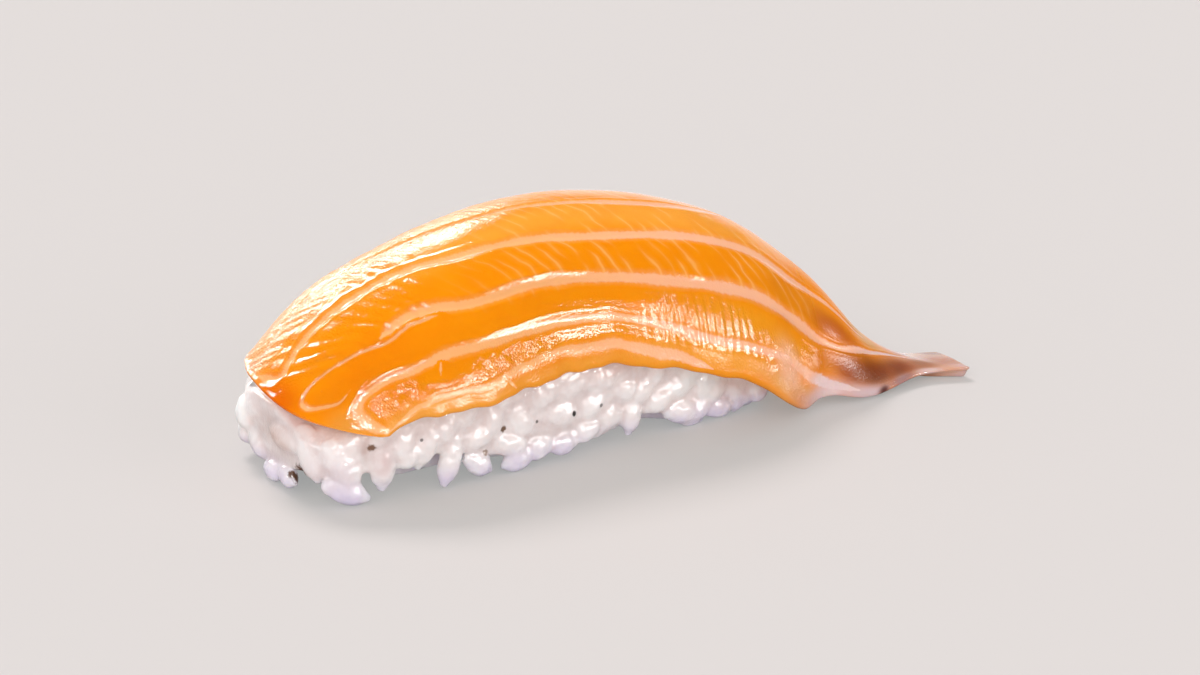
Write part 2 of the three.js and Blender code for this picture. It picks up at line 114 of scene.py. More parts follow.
# Sinews: (place, across, half width in mm) knots, then depth of the groove in mm. Across runs from -1 at the
# near edge to 1 at the far edge.
SINEWS = {
    "far_low": ([(-27, 0.93, 0.4), (-10, 0.88, 0.4), (10, 0.82, 0.4), (26, 0.78, 0.3)], 0.16),
    "far_high": (
        [(-28, 0.72, 0.4), (-12, 0.62, 0.45), (4, 0.45, 0.45), (28, 0.4, 0.45), (37, 0.4, 0.3)],
        0.18,
    ),
    "first": (
        [(-28.5, 0.43, 0.35), (-27.1, 0.27, 0.35), (-24.9, 0.3, 0.35), (-22.9, 0.32, 0.35),
         (-16, 0.24, 0.35), (-10, 0.15, 0.33), (-6, 0.08, 0.33), (0, 0.043, 0.35), (4, 0, 0.38),
         (10, -0.037, 0.4), (18, -0.027, 0.38), (24, 0.043, 0.35), (32, 0.12, 0.3)],
        0.16,
    ),
    "second": (
        [(-28.5, 0, 0.35), (-27.3, -0.17, 0.4), (-26, -0.13, 0.42), (-19, -0.127, 0.42),
         (-13, -0.147, 0.42), (-9.4, -0.207, 0.42), (-4.4, -0.24, 0.42), (0, -0.27, 0.44),
         (4, -0.303, 0.45), (16, -0.29, 0.48), (23.3, -0.287, 0.48), (27.6, -0.33, 0.45),
         (32.6, -0.34, 0.35), (35, -0.33, 0.3)],
        0.22,
    ),
    "third": (
        [(-19.7, -0.49, 0.35), (-18, -0.455, 0.5), (-14, -0.45, 0.5), (-10.4, -0.503, 0.5),
         (-2.6, -0.517, 0.5), (5, -0.552, 0.5), (14, -0.567, 0.52), (24.6, -0.567, 0.56),
         (26.8, -0.587, 0.54), (29.3, -0.65, 0.5), (31.1, -0.663, 0.46), (34.2, -0.547, 0.46),
         (37.4, -0.397, 0.42), (41, -0.2, 0.4)],
        0.22,
    ),
    "third_loop": (
        [(-13.7, -0.497, 0.15), (-16.5, -0.49, 0.15), (-19.5, -0.53, 0.15), (-22.5, -0.483, 0.15),
         (-24.2, -0.453, 0.15), (-26.2, -0.427, 0.15), (-27.6, -0.463, 0.17), (-27.7, -0.523, 0.17),
         (-26.8, -0.607, 0.15), (-25.9, -0.653, 0.14), (-24.6, -0.643, 0.12)],
        0.18,
    ),
    "fourth": (
        [(-24.8, -1, 0.42), (-25.3, -0.94, 0.45), (-25.5, -0.843, 0.45), (-25.3, -0.76, 0.45),
         (-24.5, -0.733, 0.42), (-23.1, -0.728, 0.4), (-19, -0.737, 0.4), (-14.5, -0.71, 0.45),
         (-9.4, -0.733, 0.45), (-4.4, -0.737, 0.45), (4.3, -0.763, 0.42), (7.4, -0.777, 0.42),
         (11.3, -0.807, 0.42), (14.2, -0.84, 0.45), (20.1, -0.84, 0.48), (24.9, -0.81, 0.5),
         (28, -0.857, 0.55), (30.3, -0.93, 0.6), (33.5, -0.95, 0.5)],
        0.1,
    ),
    "septum": ([(-15.9, -0.743, 0.2), (-16.6, -0.81, 0.15)], 0.08),
    "fifth": (
        [(-24.6, -1, 0.3), (-23.8, -0.993, 0.3), (-22, -0.963, 0.3), (-19.3, -0.93, 0.3),
         (-15.6, -0.92, 0.3), (-10.2, -0.92, 0.32), (-7.5, -0.903, 0.35), (-2.7, -0.89, 0.4),
         (2.6, -0.907, 0.48), (6.5, -0.917, 0.55), (9.2, -0.937, 0.55), (12.4, -0.963, 0.5),
         (15.3, -1, 0.4)],
        0.05,
    ),
    "fifth_fork": ([(-10.2, -0.92, 0.28), (-9.2, -0.995, 0.2)], 0.08),
}
SINEW_SAMPLE = 0.12  # mm between the points that stand for a sinew
SINEW_FADE = 10  # how many of them it narrows over, and the share of its width left at its end
SINEW_END = 0.4
GROOVE = 1.1  # a groove's reach, and its bank's height, place and reach, in half widths
BANK = (0.4, 2, 0.6)
RAIL_DEPTH = 0.12  # how far the flesh sinks towards a sinew, and over what distance
RAIL_REACH = 1.5
RAIL_FULL = 0.15  # the groove's depth from which it sinks that far
SHALLOW = 0.5  # the share of both left towards the tail, and where it changes
SHALLOW_CHANGE = (-4, 8)

# How far a muscle fibre has moved along x at a place across the skin.
FIBRE_LEAN = [
    [-1, 2.6], [-0.85, 2.5], [-0.6, 2.5], [-0.55, 2.4], [-0.43, 1.7], [-0.3, 0], [-0.05, -2.4],
    [0.3, -5.4], [1, -11],
]

# An area is pairs of places along and across, between which it fades in. In these three, by the cut end, on
# the top and low on the near side, fibres stand up.
CRUMPLED = [
    ([(-9, -17)], [(-0.62, -0.5), (0.1, -0.1)]),
    ([(10, -4)], [(-0.1, 0.1)]),
    ([(7, 12), (23, 13)], [(-0.6, -0.67), (-0.93, -0.85)]),
]

# Their ridges there: height, step, and the share that patches leave.
FIBRE_RIDGES = [(0.1, 1.7, 0), (0.07, 1.05, 0), (0.075, 0.86, 0.5)]
FIBRE_STRETCH = 9  # mm from the ridge to an edge in their noise, so that it runs along them

# How dry the skin is along the lower edge, and where it turns brown towards the tail.
DRY = [
    (0.3, ([(-27, -24), (28, 24)], [(-0.87, -0.92)])),
    (0.4, ([(26, 30)], [(-0.96, -0.9), (0.5, 0.1)])),
]

# Where the skin is pebbled: the middle's place and across, and the reach along and across.
PEBBLES = [(-8, -0.83, 5.5, 0.08), (-22.3, -0.84, 2.8, 0.09), (24.2, -0.86, 2.6, 0.13)]
WETNESS = (0.15, 0.6, 0.2, 0.6)  # how wet the three crumpled areas and the pebbled ones are

# Layers of soft noise: height, size and seed.
SINEW_UNEVEN = [(0.2, 2.2, 3)]
FIBRE_WANDER = [(0.45, 1.9, 11)]
FIBRE_PATCHES = [(0.5, 1.1, 12)]
SLICE_LUMPS = [(0.05, 3.7, 21), (0.015, 1.3, 22)]
PEBBLE_LUMPS = [(0.12, 0.8, 23)]
GRAIN_LUMPS = [(0.1, 2.1, 31), (0.03, 0.9, 32)]

# Spots of colour on the flesh, most of them its own and some painted light and shade, as marked: (place,
# across), reach along and across, colour, and strength in the middle.
FLESH = (244, 143, 3)
FLESH_STAINS_AND_PAINTED_LIGHT = [
    # Paler over the far half: partly the flesh's own colour, partly painted sheen of light grazing the top.
    ((2, 0.55), (38, 0.5), (249, 174, 84), 0.85),
    ((-19, -1), (7, 0.08), (243, 176, 90), 0.8),
    # These two: pale pink along the upper left outline, painted sheen where the shoulder catches the light
    # from behind.
    ((-27.5, 0.5), (3.5, 0.4), (250, 192, 146), 0.85),
    ((-19, 0.6), (9, 0.35), (251, 190, 128), 0.7),
    ((4, -0.14), (24, 0.12), (248, 162, 54), 0.9),
    ((17, -0.15), (9, 0.11), (247, 163, 58), 0.7),
    ((20, -0.73), (8, 0.1), (240, 154, 30), 0.9),
    ((-1, -0.84), (13, 0.05), (242, 150, 20), 0.6),
    ((15, -0.93), (9, 0.07), (242, 158, 36), 0.9),
    ((24, -0.94), (4, 0.07), (234, 165, 95), 0.9),
    # Pale pink by the lump: partly its own colour, partly painted sheen where the fold glints.
    ((24, -0.84), (1.8, 0.12), (243, 188, 156), 0.75),
    ((-2, -0.99), (18, 0.05), (240, 158, 48), 0.9),
    ((-22, -1), (5, 0.05), (239, 160, 60), 0.9),
    # Slightly deeper orange low towards the cut end: partly its own colour, partly painted shade.
    ((-22, -0.6), (6, 0.16), (237, 132, 3), 0.9),
    ((-26.8, -0.84), (1.3, 0.15), (235, 158, 62), 0.9),
    # Deep orange at the cut end: partly the thick flesh's own colour, partly painted shade where the end turns
    # away from the light.
    ((-28.9, -0.3), (1.8, 0.22), (224, 103, 1), 0.95),
    # Pale pink at the cut end's far corner: partly fat, partly painted sheen.
    ((-29, 0.45), (1.2, 0.3), (247, 178, 130), 0.9),
    ((27, -0.45), (4, 0.1), (230, 136, 12), 0.8),
    ((44, 0), (6.5, 2), (206, 168, 150), 0.95),
    ((31, -0.53), (2.8, 0.1), (186, 88, 0), 0.85),
    ((26.5, -0.98), (2.2, 0.05), (220, 140, 84), 0.8),
    ((29.8, -0.76), (2.4, 0.09), (212, 118, 12), 0.9),
    # These three: brown on the tail, partly the flesh's own colour, partly painted shade in the tail's trough.
    ((32.6, -0.8), (1.9, 0.13), (162, 74, 8), 0.95),
    ((35.4, -0.76), (2.8, 0.2), (108, 42, 8), 0.95),
    ((38.8, -0.7), (2.6, 0.26), (134, 70, 44), 0.95),
    ((41.6, -0.5), (1.8, 0.4), (164, 112, 86), 0.9),
    ((35.4, -0.3), (2.2, 0.13), (214, 158, 92), 0.9),
    # Whitish band along the tail's upper edge: partly its own colour, partly a painted highlight.
    ((40, 0.15), (3.2, 0.35), (216, 194, 192), 0.95),
    ((44.2, 0.1), (1.8, 0.6), (188, 140, 122), 0.9),
    ((45.8, -0.6), (1.6, 0.5), (208, 176, 170), 0.95),
    ((44.8, 0.85), (1.6, 0.2), (118, 88, 80), 0.7),
    # These two: pink white along the tail's lower rim, partly fat, partly a painted highlight of a glossy
    # line.
    ((30, -0.99), (3.6, 0.1), (226, 200, 200), 0.95),
    ((34.5, -0.98), (2.4, 0.08), (214, 190, 194), 0.95),
    # Near black at a small notch in the lower edge: painted shade of the notch.
    ((36.2, -1), (0.6, 0.07), (72, 34, 38), 0.95),
    ((38.6, -0.97), (1.6, 0.1), (160, 128, 132), 0.85),
    ((41.8, -0.95), (1.4, 0.14), (214, 190, 188), 0.9),
]
SPOT_EDGE = 1.5  # how sharply a spot ends, 1 for the softest

# ---- the block of rice, by the same sizes as the solid ----

RICE_HALF = (27.2, 11.1)
RICE_CORNER = 5
GRAIN_SUNK = 0.42

# Grains pressed into the near wall: x, height of the middle, turn in degrees, length and width.
NEAR_GRAINS = [
    [-24.1, 4, -62, 7.6, 3], [-23.7, 1.5, -22, 6.4, 2.7], [-20.7, 7, 78, 4.6, 2.4],
    [-20.1, 3.6, 88, 6.8, 2.7], [-17.9, 5.4, 84, 6, 2.7], [-17.3, 4.2, 24, 4.6, 2.2],
    [-15.3, 5, 64, 6.6, 2.6], [-13.3, 6.2, 50, 5.4, 2.6], [-12.7, 2.7, 74, 6.8, 2.4],
    [-11, 7.4, 60, 6.2, 2.9], [-9.7, 4.6, 20, 5.4, 2.5], [-9.3, 1.7, -34, 5, 2.4],
    [-7.9, 6, 80, 5.8, 2.6], [-6.9, 8, 34, 5.4, 2.6], [-5.4, 3, -20, 5.6, 2.5],
    [-5.1, 1.3, 14, 5.2, 2.4], [-4.5, 5.2, -50, 6.6, 3], [-2.7, 2, 10, 5.2, 2.7],
    [-2.1, 7.6, 30, 6.6, 2.9], [0.2, 5, -14, 6.4, 3], [0.2, 1.7, 10, 4.8, 2.4],
    [1.4, 8, 12, 6.4, 2.8], [2.8, 2.4, 20, 4.2, 2.2], [3.5, 5.2, 26, 6, 2.9],
    [4.9, 7.6, 0, 6.4, 2.8], [5.9, 3.3, -60, 5.6, 3.2], [7.7, 6, -8, 5, 2.5],
    [8.3, 2.6, 80, 5, 2.3], [9.6, 5.4, 40, 5.2, 2.6], [10.9, 6.8, 58, 5, 2.5],
    [11.4, 3.8, 30, 5.2, 2.5], [14.1, 4.9, 20, 5.8, 2.7], [14.9, 2, -14, 6, 2.8],
    [16.7, 1.8, 40, 4, 2.2], [17.5, 5, 4, 5.4, 2.5], [18.4, 3.4, 30, 5.4, 2.7],
    [19.6, 1.3, -5, 5, 2.4], [21.6, 1.2, 76, 3.6, 2.1], [21.9, 2.9, -10, 5, 2.5],
]

# Grains in the wall under the cut end: y, height, turn, length, width, and how far each stands out.
END_GRAINS = [
    [-6, 4.8, -68, 7.4, 3, 0], [-2.2, 1.5, -10, 4.6, 2.3, 0.1], [-1.5, 5.5, 4, 7.4, 2.7, 0.3],
    [0.4, 1.1, 0, 4.4, 2.1, 0.2], [1.2, 2.2, 8, 6, 2.2, -0.9], [4.2, 2.6, -30, 5.6, 2.6, 0],
    [5.2, 6.4, 40, 5.6, 2.7, 0], [6.8, 4.8, 84, 5.4, 2.9, 0.8], [8.2, 2.6, 50, 4.6, 2.7, 0.6],
]

# One more grain, at the corner under the tail: compass angle in degrees, and the rest as above.
CORNER_GRAIN = [-21.5, 2, -50, 3.8, 2.7, 1.3]
HALVINGS = 30  # for finding the compass angle of a place on the outline
LOWEST_GRAIN = 0.1  # every grain clears the table by this

# The far wall and the wall under the tail are filled row by row, between two compass angles.
FILL_SEED = 7
FILL_FROM = -0.62
FILL_TO = math.pi - 0.36
FILL_ROW_SHIFT = 0.06
FILL_HEIGHTS = [1.3, 3.7, 6.1, 8.5, 10.9, 13.3]
FILL_RISE = (-0.45, 0.45)
FILL_STANDS_OUT = (-0.25, 0.25)
FILL_STEP = (4.56, 6.84)
FILL_LENGTH = (5.2, 7)
FILL_WIDTH = (2.4, 3.1)
FILL_TURN = (-70, 70)
FILL_ROOM = 1.0
SMALL_ANGLE = 0.001

# The pressed core behind the grains: how far it lies inside the outline by height, and how high its lower
# edge stands off the table along x, where only the lowest grains reach down.
CORE_INSET = [[0, 0.9], [5, 0.75], [9, 0.5], [12, 0.9], [16, 2.4], [20, 4.5]]
CORE_LIFT = [
    [-27, 2], [-22, 2.9], [-16, 3.6], [-11, 2.8], [-6, 1.6], [0, 1], [5, 1.1], [9, 2.4], [12, 2],
    [16, 0.9], [27, 0.8],
]
FAR_LIFT = 0.8
NEAR_SIDE = (3, -3)  # y between which the far side's lift changes to the near side's
CORE_UNDERCUT = 2.5  # how deep the core is undercut below that edge, as a share of the edge's height
UNDERCUT_LEAST = 0.5
UNDERCUT_BLEND = 0.6
GRAIN_FLATNESS = 0.72
GRAIN_TAPER = (0.25, 0.6)  # how much thinner the upper and the lower end are, and how late they narrow
GRAIN_POINT = 2.5
GRAINS_MELT = 0.14  # how softly grains run into each other, and into the core
CORE_MELT = 0.3
GRAIN_MARGIN = 1.5  # how far round a grain its field reaches, and the distance elsewhere
FAR_FROM_GRAINS = 3.0
GAP_IN_RICE = ((-26.9, -4.5, 2.5), 1.1)  # a hollow between grains at the cut end's foot: middle and radius
RICE_STEP = 0.25  # the finest form left where the grains stick together
RICE_LOW = (-29.5, -13.5, -0.75)
RICE_HIGH = (29.5, 13.5, 21)
RICE_CLEARS_TABLE = 0.02
SOFTENING = 2  # rounds

# The rice keeps a gap from the slice, by samples of the slice's underside along and across. A sample past
# the edge share presses only what is close beside it.
UNDERSIDE_SAMPLES = (260, 180)
SLICE_GAP = 0.12
SAMPLE_REACH = 2.5
EDGE_SHARE = 0.99
EDGE_REACH = 0.5
PRESSED_DEPTH = 6
NO_SLICE = 99.0

# Spots of colour on the rice, some of them painted light and shade, as marked: (x, y, height), reaches, colour
# and strength.
RICE = (238, 229, 228)
RICE_STAINS_AND_PAINTED_LIGHT = [
    # Brownish: painted shade in a recess between grains.
    ((-21.9, -10, 5.4), (0.45, 1.2, 1.8), (190, 158, 146), 0.75),
    # Darker and warmer in the middle of the wall under the cut end.
    ((-27, 0, 5), (1, 4, 1.6), (210, 178, 166), 0.8),
    # Pinker just under the slice's lip.
    ((6.4, -11, 8.9), (3, 1, 0.8), (238, 212, 206), 0.7),
    # Painted light: paler on the near wall where the slice's lip shades it.
    ((17, -10, 6), (7, 3, 4), (255, 250, 250), 0.9),
    ((22, -10, 4), (4, 2, 1.5), (234, 216, 216), 0.4),
    ((-20.5, -10.8, 4.8), (1.3, 1.6, 2), (212, 186, 184), 0.7),
    ((-25, -9, 3.5), (2.5, 3, 2), (220, 206, 214), 0.5),
    # Painted light: paler on the far part of the wall under the cut end, which faces away from the lights.
    ((-27, 7.5, 6), (2, 2.6, 3), (255, 250, 248), 0.95),
]

# ---- helpers ----

CELL_PRIMES = (73856093, 19349663, 83492791)
SEED_PRIME = 2654435761
MIX_PRIME = 1274126177
DRAW_FACTOR = 1664525
DRAW_STEP = 1013904223


def linear(r, g, b):
    """Scene-linear colour of an sRGB colour given from 0 to 255."""
    return tuple(((c / 255 + 0.055) / 1.055) ** 2.4 if c > 10 else c / 255 / 12.92 for c in (r, g, b))


def smooth_step(start, end, value):
    t = np.clip((np.asarray(value, float) - start) / (end - start), 0, 1)
    return t * t * (3 - 2 * t)


def along(knots, place):
    """Values of a profile at places: a smooth curve through its knots, level outside them."""
    at = np.array([k[0] for k in knots], float)
    value = np.array([k[1] for k in knots], float)
    held = np.clip(np.asarray(place, float), at[0], at[-1])
    span = np.diff(at)
    rise = np.diff(value) / span
    slope = np.empty_like(value)
    slope[0] = rise[0]
    slope[-1] = rise[-1]
    slope[1:-1] = (rise[:-1] * span[1:] + rise[1:] * span[:-1]) / (span[1:] + span[:-1])
    i = np.clip(np.searchsorted(at, held, side="right") - 1, 0, len(at) - 2)
    t = (held - at[i]) / span[i]
    start = (2 * t**3 - 3 * t**2 + 1) * value[i] + (t**3 - 2 * t**2 + t) * span[i] * slope[i]
    end = (3 * t**2 - 2 * t**3) * value[i + 1] + (t**3 - t**2) * span[i] * slope[i + 1]
    return start + end


def lattice_draw(cell, seed):
    """Repeatable draws from 0 to 1, one for each whole-numbered cell."""
    x, y, z = (cell[..., axis] * prime for axis, prime in enumerate(CELL_PRIMES))
    mixed = x ^ y ^ z ^ (seed + 1) * SEED_PRIME
    mixed = ((mixed ^ (mixed >> 13)) * MIX_PRIME) & 0xFFFFFFFF
    return ((mixed ^ (mixed >> 16)) & 0xFFFFFF) / 0xFFFFFF


def soft_noise(points, size, seed):
    """Smooth noise from -1 to 1 over points, with features of the given size."""
    scaled = np.asarray(points, float) / size
    cell = np.floor(scaled).astype(np.int64)
    part = scaled - cell
    part = part * part * (3 - 2 * part)
    total = np.zeros(scaled.shape[:-1])
    for corner in np.ndindex(2, 2, 2):
        weight = np.prod(np.where(corner, part, 1 - part), axis=-1)
        total += weight * lattice_draw(cell + np.array(corner), seed)
    return 2 * total - 1


def lumps(points, layers):
    return sum(height * soft_noise(points, size, seed) for height, size, seed in layers)


def drawer(seed):
    """Repeatable draws from 0 to 1, the same as the solid's."""
    state = seed

    def draw():
        nonlocal state
        state = (state * DRAW_FACTOR + DRAW_STEP) % 2**32
        return state / 2**32

    return draw


def between(pair, share):
    return pair[0] + (pair[1] - pair[0]) * share


def unit(vectors):
    return vectors / np.linalg.norm(vectors, axis=-1, keepdims=True)


def tree_of(points):
    tree = KDTree(len(points))
    for k, point in enumerate(points):
        tree.insert(point, k)
    tree.balance()
    return tree


def mesh_object(name, points, faces, attributes=None):
    """A smooth-shaded object from points in mm, with attributes: numbers, or colours in 4 columns."""
    mesh = bpy.data.meshes.new(name)
    mesh.from_pydata((np.asarray(points) * MM).tolist(), [], faces)
    mesh.update()
    mesh.shade_smooth()
    for key, values in (attributes or {}).items():
        kind = "FLOAT_COLOR" if values.ndim == 2 else "FLOAT"
        layer = mesh.attributes.new(key, kind, "POINT")
        layer.data.foreach_set("color" if values.ndim == 2 else "value", values.astype(np.float32).ravel())
    made = bpy.data.objects.new(name, mesh)
    bpy.context.scene.collection.objects.link(made)
    return made


def spotted_tint(base, spots, coordinates):
    """A row of colour for each point: the base, under soft spots of (place, reaches, colour, strength)."""
    tint = np.empty(coordinates[0].shape + (3,))
    tint[:] = linear(*base)
    for place, reaches, colour, strength in spots:
        far = sum(((c - p) / r) ** 2 for c, p, r in zip(coordinates, place, reaches))
        share = (strength * np.exp(-(far**SPOT_EDGE)))[..., None]
        tint = tint * (1 - share) + np.array(linear(*colour)) * share
    flat = tint.reshape(-1, 3)
    return np.c_[flat, np.ones(len(flat))]


# ---- the slice ----


def frill(place, phase):
    wave = sum(height * np.sin(rate * phase + start) for height, rate, start in FRILL)
    return wave * (1 - smooth_step(*FRILL_FADES, place))


def cut_place(across):
    return CUT_END + END_ROUND * np.abs(across) ** END_SQUARENESS


def skin(place, across):
    """Points of the skin without relief, and the directions inward from them."""
    near = across < 0
    side = np.where(near, -1.0, 1.0)
    t = np.abs(across)
    rise = along(RIDGE_HEIGHT, place + SLOPE_STEP) - along(RIDGE_HEIGHT, place - SLOPE_STEP)
    slope = rise / (2 * SLOPE_STEP)
    ahead = np.sqrt(1 + slope**2)
    yaw = np.radians(along(YAW, place))
    outward = np.stack([-np.sin(yaw) / ahead, np.cos(yaw), -np.sin(yaw) * slope / ahead], -1)
    leaning = slope * along(LEAN, place)
    up = unit(np.stack([-leaning, np.zeros_like(leaning), np.ones_like(leaning)], -1))
    width = np.where(near, along(NEAR_WIDTH, place), along(FAR_WIDTH, place))
    width = width + frill(place, np.where(near, place, place + FAR_FRILL_SHIFT)) * t**4
    fall = np.radians(np.where(near, along(NEAR_FALL, place), along(FAR_FALL, place)))
    curl = np.where(near, along(NEAR_CURL, place), FAR_CURL)
    angle = [fall * (t * (k + 0.5) / FALL_STEPS) ** curl for k in range(FALL_STEPS)]
    out = sum(np.cos(a) for a in angle) * t * width / FALL_STEPS
    down = sum(np.sin(a) for a in angle) * t * width / FALL_STEPS
    middle = np.stack([place + SLICE_SHIFT, along(RIDGE_SIDE, place), along(RIDGE_HEIGHT, place)], -1)
    points = middle + (side * out)[..., None] * outward - down[..., None] * up
    inward = -np.cos(fall * t)[..., None] * up - (side * np.sin(fall * t))[..., None] * outward
    return points, inward


def slice_thickness(place, across):
    edge = 1 - (1 - LIP) * smooth_step(LIP_BEGINS, 1, np.abs(across))
    from_cut = np.clip((place - cut_place(across) + CUT_LIP_START) / CUT_LIP_LENGTH, 0, 1)
    return along(THICKNESS, place) * edge * (CUT_LIP + (1 - CUT_LIP) * np.sqrt(from_cut))


def sinew_samples(knots):
    """Points on a smooth curve through a sinew's knots, across scaled to mm, with half widths."""
    flat = np.array([(x, v * MEAN_WIDTH, half) for x, v, half in knots])
    reach = np.concatenate([[0], np.cumsum(np.linalg.norm(np.diff(flat[:, :2], axis=0), axis=1))])
    at = np.linspace(0, reach[-1], max(2, int(reach[-1] / SINEW_SAMPLE)))
    return np.stack([along(list(zip(reach, flat[:, k])), at) for k in range(3)], -1)


def sinew_tree():
    """All sinews as one tree of points, with the half width and depth of groove at each."""
    samples, halves, depths = [], [], []
    for knots, depth in SINEWS.values():
        line = sinew_samples(knots)
        steps_from_end = np.minimum(np.arange(len(line)), np.arange(len(line))[::-1])
        fade = smooth_step(0, SINEW_FADE, steps_from_end)
        flat = np.c_[line[:, :2], np.zeros(len(line))]
        uneven = 1 + lumps(flat, SINEW_UNEVEN)
        samples.append(flat)
        halves.append(line[:, 2] * uneven * (SINEW_END + (1 - SINEW_END) * fade))
        depths.append(depth * fade)
    return tree_of(np.concatenate(samples)), np.concatenate(halves), np.concatenate(depths)


def sinew_fields(place, across):
    """Closeness to the nearest sinew, 1 on its middle and 0 at its edge, and how deep the skin sinks."""
    tree, halves, depths = sinew_tree()
    flat = np.stack([place.ravel(), across.ravel() * MEAN_WIDTH], -1)
    found = [tree.find((x, s, 0))[1:] for x, s in flat]
    nearest = np.array([k for k, _ in found])
    distance = np.array([d for _, d in found])
    ratio = distance / halves[nearest]
    bank, bank_at, bank_reach = BANK
    groove = np.exp(-((ratio / GROOVE) ** 2)) - bank * np.exp(-(((ratio - bank_at) / bank_reach) ** 2))
    rail = RAIL_DEPTH * np.exp(-((distance / RAIL_REACH) ** 2)) * np.minimum(depths[nearest] / RAIL_FULL, 1)
    shallow = 1 - (1 - SHALLOW) * smooth_step(*SHALLOW_CHANGE, place)
    sunk = (depths[nearest] * groove + rail).reshape(place.shape) * shallow
    return (1 - ratio).reshape(place.shape), sunk


def within(area, place, across):
    """How far places are inside an area of the skin, from 0 to 1."""
    share = 1.0
    for pairs, value in zip(area, (place, across)):
        for start, end in pairs:
            share = share * smooth_step(start, end, value)
    return share


def pebbles(place, across):
    total = 0
    for x, v, length, width in PEBBLES:
        total = total + np.exp(-(((place - x) / length) ** 4) - ((across - v) / width) ** 4)
    return np.minimum(total, 1)


def dryness(place, across):
    return np.maximum(*(share * within(area, place, across) for share, area in DRY))


def fibre_relief(place, across, strengths):
    """Low ridges of muscle fibre, broken up along their length."""
    shifted = place - along(FIBRE_LEAN, across)
    flat = np.stack([shifted, across * FIBRE_STRETCH, np.zeros_like(place)], -1)
    wander = lumps(flat, FIBRE_WANDER)
    patchy = 0.5 + lumps(flat, FIBRE_PATCHES)
    total = 0
    for (height, step, least), strength in zip(FIBRE_RIDGES, strengths):
        wave = height * np.sin(2 * np.pi * (shifted / step + wander))
        total = total + wave * (least + (1 - least) * patchy) * strength
    return total


def zip_strip(first, second, flip):
    """Triangles between two rows of vertices that run the same way, with different counts."""
    faces = []
    j = k = 0
    while j < len(first) - 1 or k < len(second) - 1:
        if (j + 1) / (len(first) - 1) <= (k + 1) / (len(second) - 1):
            face = (first[j], first[j + 1], second[k])
            j += 1
        else:
            face = (first[j], second[k + 1], second[k])
            k += 1
        faces.append(face[::-1] if flip else face)
    return faces


def slice_rings():
    """Each ring's share of the length, and the angle by which it's turned in where an end rounds off."""
    turns = np.radians(np.linspace(END_TURN, END_TURN / END_RINGS, END_RINGS))
    share = np.concatenate([np.zeros(END_RINGS), np.linspace(0, 1, STATIONS), np.ones(END_RINGS)])
    turn = np.concatenate([turns, np.zeros(STATIONS), -turns[::-1]])
    return share[:, None], turn[:, None]


def slice_places(share, across):
    start = cut_place(across) + CUT_ROUND
    return start + (TAIL_TIP - TIP_ROUND - start) * share


def slice_shell(share, turn, across, is_under):
    """Points of the top or the underside, drawn together at the ends, and the directions inward."""
    place = slice_places(share, across)
    points, inward = skin(place, across)
    thick = slice_thickness(place, across)
    squeeze = thick / 2 * (1 - np.cos(turn))
    depth = thick - squeeze if is_under else squeeze
    points = points + depth[..., None] * inward
    points[..., 0] -= np.where(turn > 0, CUT_ROUND, TIP_ROUND) * np.sin(turn)
    return place, points, inward


def rounded_edge(start, end, inner):
    """Points that round off a long edge from start to end, away from the neighbours inside."""
    out = unit(start - inner)
    middle = (start + end) / 2
    half = (start - end) / 2
    reach = np.linalg.norm(half, axis=-1, keepdims=True) * EDGE_BULGE
    angles = np.pi * np.arange(1, EDGE_POINTS + 1) / (EDGE_POINTS + 1)
    return np.stack([middle + np.cos(w) * half + np.sin(w) * reach * out for w in angles], 1)


def slice_faces(rings, ring, columns):
    """Quads round the slice, and a strip of triangles over each end."""
    numbers = np.arange(rings * ring).reshape(rings, ring)
    faces = []
    for j in range(ring):
        a, b = numbers[:, j], numbers[:, (j + 1) % ring]
        faces += np.stack([a[:-1], a[1:], b[1:], b[:-1]], -1).tolist()
    half_edge = EDGE_POINTS // 2
    for row, flip in ((0, False), (-1, True)):
        around = np.roll(numbers[row], half_edge + 1).tolist()
        upper = columns + EDGE_POINTS
        faces += zip_strip(around[:upper], around[upper:][::-1], flip)
    return faces


